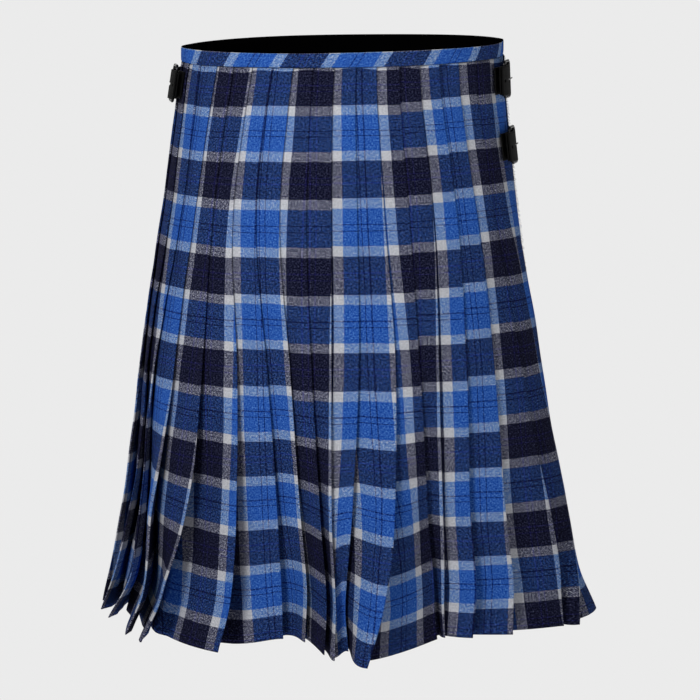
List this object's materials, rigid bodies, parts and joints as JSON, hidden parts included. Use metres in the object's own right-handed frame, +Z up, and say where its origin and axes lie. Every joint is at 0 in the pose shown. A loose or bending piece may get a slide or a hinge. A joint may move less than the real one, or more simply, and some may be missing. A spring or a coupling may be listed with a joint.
{
  "type": "scottish kilt",
  "caption": "Knife-pleated tartan wrap skirt in worn shape, with flat front aprons, narrow waistband, frayed apron edge and leather buckle straps.",
  "frame": {"origin": "the centre of the wearer's waist, level with the seam below the waistband", "axes": "+Z up the wearer's body, +Y to the wearer's front, so the pleats face -Y, and +X to the wearer's right"},
  "size_m": [0.5265, 0.414, 0.6088],
  "materials": {
    "kilt_cloth": "twill-woven blue, navy and white tartan in a wool blend, soft and matt",
    "band_cloth": "the same tartan laid over a stiff tape",
    "lining_cloth": "plain black cotton",
    "strap_leather": "black finished leather, slightly worn at the edges",
    "buckle_metal": "dark plated steel wire"
  },
  "bodies": {
    "root": {"pleated_back_left": "kilt_cloth", "pleated_back_right": "kilt_cloth", "over_apron": "kilt_cloth", "under_apron": "kilt_cloth", "apron_fringe": "kilt_cloth", "waistband": "band_cloth", "waist_lining": "lining_cloth", "strap_left_waist": "strap_leather", "strap_right_waist": "strap_leather", "strap_right_hip": "strap_leather", "buckle_tab_left_waist": "strap_leather", "buckle_tab_right_waist": "strap_leather", "buckle_tab_right_hip": "strap_leather", "buckle_frame_left_waist": "buckle_metal", "buckle_frame_right_waist": "buckle_metal", "buckle_frame_right_hip": "buckle_metal", "buckle_prong_left_waist": "buckle_metal", "buckle_prong_right_waist": "buckle_metal", "buckle_prong_right_hip": "buckle_metal"}
  },
  "joints": []
}
